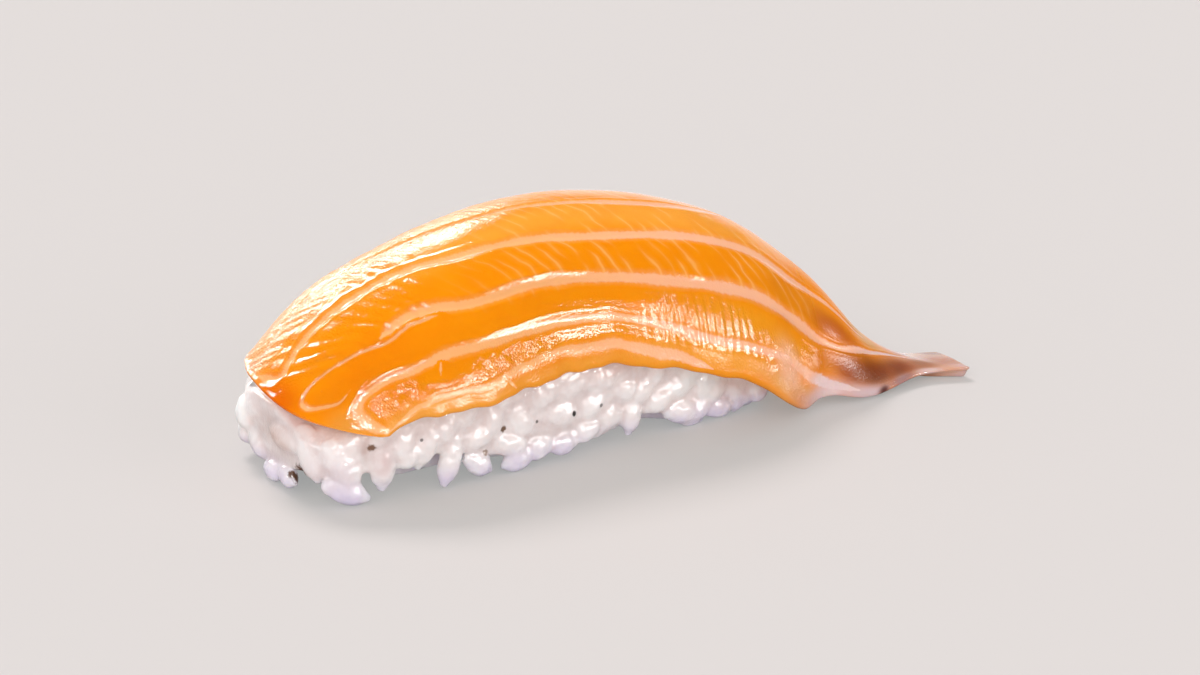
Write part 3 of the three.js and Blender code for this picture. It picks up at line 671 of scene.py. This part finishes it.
def make_slice():
    share, turn = slice_rings()
    rings = len(share)
    near = np.linspace(-1, COLUMNS_CHANGE, NEAR_COLUMNS, endpoint=False)
    columns = np.concatenate([near, np.linspace(COLUMNS_CHANGE, 1, FAR_COLUMNS)])
    top = np.tile(columns, (rings, 1))
    under = np.tile(np.linspace(1, -1, UNDER_COLUMNS), (rings, 1))

    top_place, top_points, top_inward = slice_shell(share, turn, top, False)
    _, under_points, _ = slice_shell(share, turn, under, True)
    crumpled = [within(area, top_place, top) for area in CRUMPLED]
    pebbled = pebbles(top_place, top)
    closeness, sunk = sinew_fields(top_place, top)
    relief = sunk - fibre_relief(top_place, top, crumpled) - lumps(top_points, SLICE_LUMPS)
    relief = relief - pebbled * lumps(top_points, PEBBLE_LUMPS)
    border = smooth_step(1, RELIEF_ENDS, np.abs(top)) * np.cos(turn)
    top_points = top_points + (relief * border)[..., None] * top_inward
    far_edge = rounded_edge(top_points[:, -1], under_points[:, 0], top_points[:, -2])
    near_edge = rounded_edge(under_points[:, -1], top_points[:, 0], under_points[:, -2])
    points = np.concatenate([top_points, far_edge, under_points, near_edge], 1)
    points[..., 2] = np.maximum(points[..., 2], SLICE_CLEARS_TABLE)

    edge = np.ones((rings, EDGE_POINTS))
    across = np.concatenate([top, edge, under, -edge], 1)
    place = slice_places(share, across)
    hidden = np.zeros((rings, across.shape[1] - len(columns)))
    wet = sum(wetness * area for wetness, area in zip(WETNESS, [*crumpled, pebbled]))
    attributes = {
        "place": place.ravel(),
        "across": across.ravel(),
        "fibre": (place - along(FIBRE_LEAN, across)).ravel(),
        "sinew": np.concatenate([closeness, hidden + NO_SINEW], 1).ravel(),
        "wet": np.concatenate([wet, hidden], 1).ravel(),
        "dry": dryness(place, across).ravel(),
        # The flesh's colours, with painted sheen, highlights and shade among the spots.
        "tint": spotted_tint(FLESH, FLESH_STAINS_AND_PAINTED_LIGHT, (place, across)),
    }
    faces = slice_faces(rings, points.shape[1], len(columns))
    return mesh_object("salmon_slice", points.reshape(-1, 3), faces, attributes)


# ---- the rice ----


def wall(angle):
    """A place on the block's outline at a compass angle, and the direction that the wall faces there."""
    a, b = RICE_HALF
    cos, sin = math.cos(angle), math.sin(angle)
    reach = (abs(cos / a) ** RICE_CORNER + abs(sin / b) ** RICE_CORNER) ** (-1 / RICE_CORNER)
    at = np.array([reach * cos, reach * sin, 0])
    out_x = math.copysign(abs(at[0] / a) ** (RICE_CORNER - 1), cos) / a
    out_y = math.copysign(abs(at[1] / b) ** (RICE_CORNER - 1), sin) / b
    return at, unit(np.array([out_x, out_y, 0]))


def angle_where(low, high, value_at, wanted):
    for _ in range(HALVINGS):
        middle = (low + high) / 2
        if value_at(wall(middle)[0]) < wanted:
            low = middle
        else:
            high = middle
    return low


def lay_grain(angle, height, turn, length, width, stands_out):
    """A grain turned in the wall's own plane: its middle, axis, direction out, length and width."""
    at, out = wall(angle)
    middle = at + out * (stands_out - width * GRAIN_SUNK)
    w = math.radians(turn)
    middle[2] = max(height, LOWEST_GRAIN + 0.5 * width * abs(math.cos(w)))
    level = np.cross([0, 0, 1], out)
    axis = level * math.cos(w) + np.cross(out, level) * math.sin(w)
    return middle, axis, out, length, width


def underside():
    """Points just under the slice, directions down into the rice, and shares of the way to an edge."""
    rows, columns = UNDERSIDE_SAMPLES
    place = np.linspace(CUT_END, TAIL_TIP, rows)[:, None].repeat(columns, 1)
    across = np.linspace(-1, 1, columns)[None, :].repeat(rows, 0)
    points, inward = skin(place, across)
    points = points + (slice_thickness(place, across) + SLICE_GAP)[..., None] * inward
    return points.reshape(-1, 3), inward.reshape(-1, 3), np.abs(across).ravel()


def room_above(place, under_points):
    apart = np.hypot(under_points[:, 0] - place[0], under_points[:, 1] - place[1])
    nearest = apart.argmin()
    return under_points[nearest, 2] - place[2] if apart[nearest] < SAMPLE_REACH else math.inf


def placed_grains():
    for x, height, turn, length, width in NEAR_GRAINS:
        angle = angle_where(math.pi, 2 * math.pi, lambda at: at[0], x)
        yield lay_grain(angle, height, turn, length, width, 0)
    for y, height, turn, length, width, stands_out in END_GRAINS:
        angle = angle_where(math.pi / 2, 1.5 * math.pi, lambda at: -at[1], -y)
        yield lay_grain(angle, height, turn, length, width, stands_out)
    yield lay_grain(math.radians(CORNER_GRAIN[0]), *CORNER_GRAIN[1:])


def filled_grains(under_points):
    draw = drawer(FILL_SEED)
    for row, row_height in enumerate(FILL_HEIGHTS):
        angle = FILL_FROM + (row % 2) * FILL_ROW_SHIFT
        while angle < FILL_TO:
            at, out = wall(angle)
            length_per_radian = np.linalg.norm(at - wall(angle + SMALL_ANGLE)[0]) / SMALL_ANGLE
            turn = between(FILL_TURN, draw())
            length = between(FILL_LENGTH, draw())
            width = between(FILL_WIDTH, draw())
            height = row_height + between(FILL_RISE, draw())
            stands_out = between(FILL_STANDS_OUT, draw())
            middle = at - out * width / 2 + np.array([0, 0, height])
            if room_above(middle, under_points) > FILL_ROOM:
                yield lay_grain(angle, height, turn, length, width, stands_out)
            angle += between(FILL_STEP, draw()) / length_per_radian


def melted(a, b, reach):
    """The union of two fields of distances, with a fillet."""
    share = np.clip(0.5 + 0.5 * (b - a) / reach, 0, 1)
    return b + (a - b) * share - reach * share * (1 - share)


def ceiling(xs, ys, under_points):
    """The slice's underside as a height over each place, and a great height where there's no slice."""
    heights = np.full((len(xs), len(ys)), NO_SLICE)
    columns = np.round((under_points[:, :2] - (xs[0], ys[0])) / RICE_STEP).astype(int)
    held = (columns > 0).all(1) & (columns[:, 0] < len(xs) - 1) & (columns[:, 1] < len(ys) - 1)
    for beside in np.ndindex(3, 3):
        reached = columns[held] + np.array(beside) - 1
        np.minimum.at(heights, tuple(reached.T), under_points[held, 2])
    return heights


def core_field(xs, ys, zs, under_points):
    """Distances to the core: inside the outline, under the slice, its lower edge off the table."""
    a, b = RICE_HALF
    x, y = np.abs(xs)[:, None] + 1e-6, np.abs(ys)[None, :] + 1e-6
    ratio = ((x / a) ** RICE_CORNER + (y / b) ** RICE_CORNER) ** (1 / RICE_CORNER)
    steep = np.hypot((x / a) ** (RICE_CORNER - 1) / a, (y / b) ** (RICE_CORNER - 1) / b)
    outline = (ratio - 1) / (ratio ** (1 - RICE_CORNER) * steep)
    near_side = smooth_step(*NEAR_SIDE, ys)[None, :, None]
    lift = FAR_LIFT + (along(CORE_LIFT, xs)[:, None, None] - FAR_LIFT) * near_side
    height = zs[None, None, :]
    below = smooth_step(UNDERCUT_BLEND, -UNDERCUT_BLEND, height - lift)
    undercut = (CORE_UNDERCUT * lift + UNDERCUT_LEAST) * below
    core = outline[:, :, None] + along(CORE_INSET, zs)[None, None, :] + undercut
    return np.maximum(core, height - ceiling(xs, ys, under_points)[:, :, None])


def grain_field(points, grain):
    """Distances to a plump grain with tapered ends, a little flattened where it lies in the wall."""
    middle, axis, out, length, width = grain
    down = -axis if axis[2] > 0 else axis
    apart = points - middle
    half = (length - width) / 2
    reach = np.clip(apart @ down, -half, half)
    apart = apart - reach[..., None] * down
    depth = (apart @ out)[..., None] * out
    flattened = np.linalg.norm(apart + depth * (1 / GRAIN_FLATNESS - 1), axis=-1)
    taper = np.where(reach < 0, *GRAIN_TAPER)
    return flattened - width / 2 * (1 - taper * np.abs(reach / half) ** GRAIN_POINT)


def grains_field(xs, ys, zs, grains):
    field = np.full((len(xs), len(ys), len(zs)), FAR_FROM_GRAINS)
    for grain in grains:
        middle, reach = grain[0], grain[3] / 2 + GRAIN_MARGIN
        window = tuple(
            slice(*np.searchsorted(axis, (m - reach, m + reach))) for axis, m in zip((xs, ys, zs), middle)
        )
        near = np.stack(np.meshgrid(xs[window[0]], ys[window[1]], zs[window[2]], indexing="ij"), -1)
        field[window] = melted(field[window], grain_field(near, grain), GRAINS_MELT)
    return field


def surface_net(field, low):
    """The skin where a field of distances is zero, with one vertex in each cell that it crosses."""
    inside = field < 0
    size = np.array(field.shape) - 1
    corners = list(np.ndindex(2, 2, 2))
    filled = 0
    for corner in corners:
        filled = filled + inside[tuple(slice(c, c + n) for c, n in zip(corner, size))].astype(int)
    cells = np.argwhere((filled > 0) & (filled < len(corners)))
    number = np.full(size, -1)
    number[tuple(cells.T)] = np.arange(len(cells))
    value = {corner: field[tuple((cells + corner).T)] for corner in corners}
    total = np.zeros((len(cells), 3))
    count = np.zeros(len(cells))
    for axis in range(3):
        step = np.eye(3)[axis]
        for corner in (c for c in corners if not c[axis]):
            first, second = value[corner], value[tuple((corner + step).astype(int))]
            crossed = (first < 0) != (second < 0)
            share = first / np.where(crossed, first - second, 1)
            total += crossed[:, None] * (corner + share[:, None] * step)
            count += crossed
    points = low + RICE_STEP * (cells + total / count[:, None])
    faces = []
    for axis in range(3):
        across, up = np.eye(3, dtype=int)[(axis + 1) % 3], np.eye(3, dtype=int)[(axis + 2) % 3]
        start = np.take(inside, range(size[axis]), axis)
        edges = np.argwhere(start != np.take(inside, range(1, size[axis] + 1), axis))
        around = [number[tuple((edges + offset).T)] for offset in (0, -across, -across - up, -up)]
        quads = np.stack(around, -1)
        outward = start[tuple(edges.T)]
        faces.append(np.where(outward[:, None], quads, quads[:, ::-1]))
    return points, np.concatenate(faces)


def softened(points, quads):
    """Points drawn halfway to the middle of their neighbours, a few rounds."""
    pairs = np.concatenate([quads[:, [k, (k + 1) % 4]] for k in range(4)])
    start, end = pairs.T
    count = np.bincount(start, minlength=len(points))[:, None]
    for _ in range(SOFTENING):
        total = np.stack([np.bincount(start, points[end, k], len(points)) for k in range(3)], -1)
        points = (points + total / count) / 2
    return points


def normals(points, quads):
    crossed = np.cross(points[quads[:, 2]] - points[quads[:, 0]], points[quads[:, 3]] - points[quads[:, 1]])
    around = quads.ravel()
    total = [np.bincount(around, np.repeat(crossed[:, k], 4), len(points)) for k in range(3)]
    return unit(np.stack(total, -1))


def pressed_under_slice(points, under):
    """Points moved down out of the slice, where they would reach into it."""
    under_points, inward, edge_share = under
    tree = tree_of(under_points)
    nearest = np.array([tree.find(p)[1] for p in points])
    down = inward[nearest]
    apart = points - under_points[nearest]
    depth = (apart * down).sum(-1, keepdims=True)
    sideways = np.linalg.norm(apart - depth * down, axis=-1, keepdims=True)
    below = (edge_share[nearest][:, None] < EDGE_SHARE) | (sideways < EDGE_REACH)
    inside = (depth < 0) & (depth > -PRESSED_DEPTH) & below
    return np.where(inside, points - depth * down, points)


def make_rice():
    under = underside()
    xs, ys, zs = (np.arange(low, high, RICE_STEP) for low, high in zip(RICE_LOW, RICE_HIGH))
    core = core_field(xs, ys, zs, under[0])
    grains = grains_field(xs, ys, zs, [*placed_grains(), *filled_grains(under[0])])
    field = np.maximum(melted(core, grains, CORE_MELT), RICE_CLEARS_TABLE - zs[None, None, :])
    gap_middle, gap_radius = GAP_IN_RICE
    from_gap = np.sqrt(sum((axis - m) ** 2 for axis, m in zip(np.ix_(xs, ys, zs), gap_middle)))
    field = np.maximum(field, gap_radius - from_gap)
    points, quads = surface_net(field, np.array(RICE_LOW))
    cell = np.round((points - RICE_LOW) / RICE_STEP).astype(int)
    stands_out = core[tuple(cell.T)]
    points = softened(points, quads)
    points = points + normals(points, quads) * lumps(points, GRAIN_LUMPS)[:, None]
    points = pressed_under_slice(points, under)
    points[:, 2] = np.maximum(points[:, 2], RICE_CLEARS_TABLE)
    attributes = {
        "stands_out": stands_out,
        "height": points[:, 2],
        # The rice's colours, with painted light and shade among the spots.
        "tint": spotted_tint(RICE, RICE_STAINS_AND_PAINTED_LIGHT, points.T),
    }
    return mesh_object("rice_heap", points, quads.tolist(), attributes)


# ---- materials ----


class Nodes:
    """Short calls for building a node tree."""

    def __init__(self, owner):
        self.owner = owner
        owner.use_nodes = True
        self.tree = owner.node_tree
        self.tree.nodes.clear()

    def add(self, kind, inputs=None, **settings):
        node = self.tree.nodes.new(kind)
        for key, value in settings.items():
            setattr(node, key, value)
        for key, value in (inputs or {}).items():
            socket = node.inputs[key]
            if isinstance(value, bpy.types.NodeSocket):
                self.tree.links.new(value, socket)
            else:
                socket.default_value = value
        return node

    def attribute(self, name, output="Fac"):
        return self.add("ShaderNodeAttribute", attribute_name=name).outputs[output]

    def math(self, operation, a, b=0.0):
        return self.add("ShaderNodeMath", {0: a, 1: b}, operation=operation).outputs[0]

    def times(self, a, b):
        return self.math("MULTIPLY", a, b)

    def plus(self, a, b):
        return self.math("ADD", a, b)

    def line(self, value, slope, start):
        return self.plus(self.times(value, slope), start)

    def ramp(self, value, low, high, most=1.0):
        """A smooth step from 0 at low to the most at high."""
        inputs = {0: value, 1: low, 2: high, 4: most}
        return self.add("ShaderNodeMapRange", inputs, interpolation_type="SMOOTHSTEP").outputs[0]

    def mix(self, share, a, b):
        return self.add("ShaderNodeMix", {0: share, 6: a, 7: b}, data_type="RGBA").outputs[2]

    def noise(self, vector, scale, detail, roughness=0.5):
        inputs = {"Vector": vector, "Scale": scale, "Detail": detail, "Roughness": roughness}
        return self.add("ShaderNodeTexNoise", inputs).outputs["Fac"]

    def vector(self, x, y):
        return self.add("ShaderNodeCombineXYZ", {0: x, 1: y}).outputs[0]

    def place_in_mm(self):
        position = self.add("ShaderNodeNewGeometry").outputs["Position"]
        inputs = {0: position, "Scale": 1 / MM}
        return self.add("ShaderNodeVectorMath", inputs, operation="SCALE").outputs[0]

    def distance_from(self, place, point):
        node = self.add("ShaderNodeVectorMath", {0: place, 1: point}, operation="DISTANCE")
        return node.outputs["Value"]

    def bump(self, height):
        """Normals over a height given in millimetres."""
        inputs = {"Height": height, "Distance": MM, "Strength": 1.0}
        return self.add("ShaderNodeBump", inputs).outputs[0]

    def finish(self, node, kind="ShaderNodeOutputMaterial"):
        self.add(kind, {"Surface": node.outputs[0]})
        return self.owner


def new_material(name):
    return Nodes(bpy.data.materials.new(name))


def colour(rgb):
    return (*linear(*rgb), 1.0)


# In the materials, a pair holds the values between which something sets in, and a third number is its most.
NO_SINEW = -9  # the closeness to sinews given to sides that have none
FIBRE_STEP = 1.45  # mm between the pale lines
LINE_CORE = (0.22, 0.0)  # by the distance from a line's middle, as a share of that step
LINE_HALO = (0.48, 0.05, 0.28)
LINE_WANDER = 0.9
LINE_UNLIKE = 3.7  # how much the lines' strengths differ, and how fast one changes along its line
LINE_CHANGE = 0.3
LINE_STRENGTHS = (0.34, 0.62)
LINES_ACROSS = (-0.6, -0.54)
LINES_BEGIN = (-14.0, 2.0)
LINES_END = (31.0, 24.0, 0.56)


def fibre_lines(n, fibre, across, across_mm, place):
    """Pale lines along the fibres, each with its own strength, that fade before the next sinew."""
    wander = n.noise(n.vector(fibre, across_mm), scale=0.45, detail=1)
    phase = n.plus(n.math("DIVIDE", fibre, FIBRE_STEP), n.times(wander, LINE_WANDER))
    from_middle = n.math("ABSOLUTE", n.math("SUBTRACT", n.math("FRACT", phase), 0.5))
    line = n.math("MAXIMUM", n.ramp(from_middle, *LINE_CORE), n.ramp(from_middle, *LINE_HALO))
    number = n.times(n.math("FLOOR", phase), LINE_UNLIKE)
    strength = n.noise(n.vector(number, n.times(across_mm, LINE_CHANGE)), scale=1, detail=0)
    line = n.times(line, n.ramp(strength, *LINE_STRENGTHS))
    line = n.times(line, n.ramp(across, *LINES_ACROSS))
    line = n.times(line, n.ramp(place, *LINES_BEGIN))
    return n.times(line, n.ramp(place, *LINES_END))


SINEW_RAG = 0.8  # how ragged a sinew's edge is, in half widths
FAT = (-0.25, 0.3, 0.92)  # by the closeness to a sinew
HALO = (-1.2, 0.2, 0.2)
HALO_ENDS = (31.0, 25.0)
HALO_OFF_EDGE = (-0.95, -0.86)
FAT_BY_CUT = (252, 182, 120)
FAT_BY_TAIL = (252, 186, 150)
# Fat on the tail, and along its lower rim partly a painted highlight of a glossy line.
FAT_AND_RIM_HIGHLIGHT_ON_TAIL = (234, 206, 204)
FAT_CHANGES = (-8.0, 22.0)
TAIL_BEGINS = (31.0, 38.0)
RIM_BEGINS = (26.0, 29.0)
RIM_ACROSS = (-0.8, -0.88)
DEEP_FLESH = (220, 98, 0)
DEEPER = (0.35, 0.7, 0.12)
PALE_LINE = (251, 184, 104)
STREAK_SCALE = (1.4, 0.8)  # along and across the fibres
STREAKS = (0.22, 0.02)  # mm of relief where the skin is wet, and everywhere
GRAIN = (0.07, 0.026)
ROUGHNESS = (0.6, 0.07)  # where the skin is dry, and everywhere


def salmon_material():
    n = new_material("salmon_flesh")
    place = n.attribute("place")
    across = n.attribute("across")
    fibre = n.attribute("fibre")
    wet = n.attribute("wet")
    in_mm = n.place_in_mm()
    across_mm = n.times(across, MEAN_WIDTH)

    # sinews with ragged edges and a faint halo, and fat that is paler on the tail; along the tail's lower rim
    # that pale colour is partly a painted highlight
    rag = n.noise(n.vector(place, across_mm), scale=2.4, detail=3)
    ragged = n.plus(n.attribute("sinew"), n.times(n.math("SUBTRACT", rag, 0.5), SINEW_RAG))
    halo_reach = n.times(n.ramp(place, *HALO_ENDS), n.ramp(across, *HALO_OFF_EDGE))
    fat = n.mix(n.ramp(place, *FAT_CHANGES), colour(FAT_BY_CUT), colour(FAT_BY_TAIL))
    # at the lower rim: partly painted highlight
    at_rim = n.times(n.ramp(place, *RIM_BEGINS), n.ramp(across, *RIM_ACROSS))
    fat = n.mix(n.math("MAXIMUM", n.ramp(place, *TAIL_BEGINS), at_rim), fat, colour(FAT_AND_RIM_HIGHLIGHT_ON_TAIL))

    tint = n.attribute("tint", "Color")
    mottled = n.noise(in_mm, scale=0.35, detail=3)
    flesh = n.mix(n.ramp(mottled, *DEEPER), tint, colour(DEEP_FLESH))
    flesh = n.mix(fibre_lines(n, fibre, across, across_mm, place), flesh, colour(PALE_LINE))
    flesh = n.mix(n.times(n.ramp(ragged, *HALO), halo_reach), flesh, fat)
    flesh = n.mix(n.ramp(ragged, *FAT), flesh, fat)

    # wet skin, crumpled along the fibres and finely grained all over
    stretched = n.vector(n.times(fibre, STREAK_SCALE[0]), n.times(across_mm, STREAK_SCALE[1]))
    streaks = n.times(n.noise(stretched, scale=1, detail=3, roughness=0.6), n.line(wet, *STREAKS))
    grain = n.times(n.noise(in_mm, scale=4.5, detail=1), n.line(wet, *GRAIN))
    inputs = {
        "Base Color": flesh,
        "Roughness": n.line(n.attribute("dry"), *ROUGHNESS),
        "IOR": 1.38,
        "Subsurface Weight": 0.2,
        "Subsurface Radius": (1.0, 0.4, 0.12),
        "Subsurface Scale": 0.5 * MM,
        "Normal": n.bump(n.plus(streaks, grain)),
    }
    return n.finish(n.add("ShaderNodeBsdfPrincipled", inputs))


# Dark specks, and painted brown shade in hollows and recesses between the grains: place in mm, radius and
# colour.
SPECKS_AND_HOLLOW_SHADE = [
    ((1.3, -10.7, 5), 0.28, (24, 20, 20)),
    ((4.4, -10.8, 5.2), 0.2, (120, 112, 112)),
    ((-2.9, -10.5, 5), 0.18, (120, 112, 112)),
    ((-16, -10.4, 6), 0.16, (130, 120, 120)),
    # These three: painted brown shade in the hollow at the cut end's foot.
    ((-25.6, -4.6, 2.5), 1.2, (96, 62, 44)),
    ((-26, -3.4, 1.6), 0.5, (96, 62, 44)),
    ((-26.5, -3.2, 2.1), 0.4, (104, 72, 56)),
    # These three: painted brown shade in recesses between grains.
    ((-21.3, -9.9, 6.2), 0.4, (132, 98, 80)),
    ((-6.7, -10.3, 5), 0.32, (120, 92, 74)),
    ((-8.8, -10.4, 3), 0.3, (160, 136, 124)),
]
SPECK_SETS_IN = (1.9, 1.2)  # by the distance in radii, and where light sinks in again
SPECK_CLEARS = (1.3, 2.1)
SINKS_IN = 0.9
LOW_RICE = (214, 204, 230)
LOW_SETS_IN = (3.6, 0.4, 0.85)  # by the height
# Painted shade: darker and warmer where the surface lies back between the grains.
RECESS_SHADE = (216, 196, 192)
RECESS_SHADE_SETS_IN = (0.5, -0.1, 0.45)  # by how far the surface stands out from the core
CLOUDS = (248, 242, 241)
CLOUDS_SET_IN = (0.4, 0.7, 0.5)
END_WALL = (-29.0, 0.0, 4.0)  # the middle of the wall under the cut end, and how much relief is left there
END_WALL_RELIEF = 0.3
END_WALL_ENDS = (8.5, 11.5, 1 - END_WALL_RELIEF)
FACETS = 0.2  # mm of relief, as the crumbs are
CRUMBS = 0.07
PATCHES = (0.45, 0.56, 0.16)


def rice_material():
    n = new_material("cooked_rice")
    in_mm = n.place_in_mm()
    low = n.ramp(n.attribute("height"), *LOW_SETS_IN)
    white = n.mix(low, n.attribute("tint", "Color"), colour(LOW_RICE))
    # painted shade in the recesses between grains
    white = n.mix(n.ramp(n.attribute("stands_out"), *RECESS_SHADE_SETS_IN), white, colour(RECESS_SHADE))
    cloudy = n.noise(in_mm, scale=0.5, detail=3)
    white = n.mix(n.ramp(cloudy, *CLOUDS_SET_IN), white, colour(CLOUDS))
    clear = SINKS_IN
    # dark specks, and painted brown shade in the hollows and recesses
    for place, radius, shade in SPECKS_AND_HOLLOW_SHADE:
        rag = n.times(n.noise(in_mm, scale=3, detail=1), radius)
        ragged = n.plus(n.distance_from(in_mm, place), rag)
        white = n.mix(n.ramp(ragged, *(radius * r for r in SPECK_SETS_IN)), white, colour(shade))
        clear = n.times(clear, n.ramp(ragged, *(radius * r for r in SPECK_CLEARS)))

    # faintly faceted grains with patches of fine wet crumbs, both fainter on the wall under the cut end
    relief = n.plus(n.ramp(n.distance_from(in_mm, END_WALL), *END_WALL_ENDS), END_WALL_RELIEF)
    facets = n.times(n.noise(in_mm, scale=1.25, detail=0), n.times(relief, FACETS))
    patches = n.times(n.ramp(n.noise(in_mm, scale=0.4, detail=1), *PATCHES), relief)
    crumbs = n.times(n.noise(in_mm, scale=3.6, detail=1), n.plus(patches, CRUMBS))
    inputs = {
        "Base Color": white,
        "Roughness": 0.3,
        "IOR": 1.42,
        "Subsurface Weight": clear,
        "Subsurface Radius": (1.0, 0.9, 0.85),
        "Subsurface Scale": 1.6 * MM,
        "Normal": n.bump(facets),
        "Coat Weight": 0.45,
        "Coat Roughness": 0.04,
        "Coat IOR": 1.5,
        "Coat Normal": n.bump(n.plus(facets, crumbs)),
    }
    return n.finish(n.add("ShaderNodeBsdfPrincipled", inputs))


# ---- stage, light and camera ----
# The floor shines faintly by itself, as a light table does, so that shadows stay thin.

FLOOR_REACH = 3000
FLOOR_GLOW = (0.22, 0.25, 0.245, 1.0)
FLOOR_COLOUR = (0.45, 0.388, 0.378, 1.0)
SKY = 0.66
SKY_IN_GLOSS = 0.12
LIGHT_DISTANCE = 600 * MM

# Suns: name, azimuth, elevation, strength, and softness in degrees.
SUNS = [
    ("back_sun", 178, 54, 1.7, 22),
    ("front_sun", -38, 17, 1.15, 60),
    ("left_sun", -100, 25, 0.6, 60),
    ("right_sun", 32, 18, 0.75, 50),
]

# Softboxes, which show only in the gloss: name, azimuth, elevation, radiance, width and height in metres.
SOFTBOXES = [
    ("back_softbox", 167, 33, 24, 0.13, 0.24),
    ("dash_softbox", -171, 27, 40, 0.15, 0.2),
    ("back_glow", 148, -6, 0.9, 1.1, 0.42),
    ("side_softbox", 27, 13, 34, 0.3, 0.12),
    ("fold_softbox", 72, -11, 10, 0.1, 0.1),
    ("small_softbox", -33, 30, 85, 0.12, 0.08),
    ("low_softbox", 0, 18, 50, 0.12, 0.06),
    ("left_softbox", -87, 16, 20, 0.16, 0.1),
]


def floor_material():
    n = new_material("pale_floor")
    diffuse = n.add("ShaderNodeBsdfDiffuse", {"Color": FLOOR_COLOUR})
    glow = n.add("ShaderNodeEmission", {"Color": FLOOR_GLOW})
    return n.finish(n.add("ShaderNodeAddShader", {0: diffuse.outputs[0], 1: glow.outputs[0]}))


def direction(azimuth, elevation):
    a, e = math.radians(azimuth), math.radians(elevation)
    return Vector((math.sin(a) * math.cos(e), -math.cos(a) * math.cos(e), math.sin(e)))


def make_floor():
    corners = [(x * FLOOR_REACH, y * FLOOR_REACH, 0) for x, y in ((-1, -1), (1, -1), (1, 1), (-1, 1))]
    floor = mesh_object("floor", corners, [(0, 1, 2, 3)])
    floor.data.materials.append(floor_material())
    floor.visible_glossy = False


def make_sky():
    n = Nodes(bpy.data.worlds.new("soft_studio"))
    glossy = n.add("ShaderNodeLightPath").outputs["Is Glossy Ray"]
    strength = n.line(glossy, SKY_IN_GLOSS - SKY, SKY)
    background = n.add("ShaderNodeBackground", {"Strength": strength})
    bpy.context.scene.world = n.finish(background, "ShaderNodeOutputWorld")


def aim(made, azimuth, elevation, distance):
    """Puts a light or the camera in a direction from the part, facing it."""
    way = direction(azimuth, elevation)
    made.location = CAMERA_TARGET + way * distance
    made.rotation_mode = "QUATERNION"
    made.rotation_quaternion = way.to_track_quat("Z", "Y")
    bpy.context.scene.collection.objects.link(made)


def add_light(name, kind, azimuth, elevation, power, **settings):
    data = bpy.data.lights.new(name, kind)
    data.energy = power
    for key, value in settings.items():
        setattr(data, key, value)
    light = bpy.data.objects.new(name, data)
    light.visible_camera = False
    aim(light, azimuth, elevation, LIGHT_DISTANCE)
    return light


def make_lights():
    for name, azimuth, elevation, strength, softness in SUNS:
        sun = add_light(name, "SUN", azimuth, elevation, strength, angle=math.radians(softness))
        sun.visible_glossy = False
    for name, azimuth, elevation, radiance, width, height in SOFTBOXES:
        power = radiance * math.pi * width * height
        form = {"shape": "RECTANGLE", "size": width, "size_y": height}
        box = add_light(name, "AREA", azimuth, elevation, power, **form)
        box.visible_diffuse = False


def make_camera():
    data = bpy.data.cameras.new("camera")
    data.sensor_width = SENSOR_WIDTH
    data.lens = CAMERA_LENS
    data.shift_x = (FRAME_WIDTH / 2 - TARGET_PIXEL[0]) / FRAME_WIDTH
    data.shift_y = (TARGET_PIXEL[1] - FRAME_HEIGHT / 2) / FRAME_WIDTH
    data.clip_start = NEAR_CLIP
    camera = bpy.data.objects.new("camera", data)
    aim(camera, CAMERA_AZIMUTH, CAMERA_ELEVATION, CAMERA_DISTANCE)
    bpy.context.scene.camera = camera


# ---- the scene ----


def dress(piece, node, material):
    piece.data.materials.append(material)
    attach(piece, "root")
    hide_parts(node)


make_camera()
make_floor()
make_sky()
make_lights()
dress(make_slice(), "salmon", salmon_material())
dress(make_rice(), "rice", rice_material())
bpy.context.scene.view_settings.view_transform = "Standard"
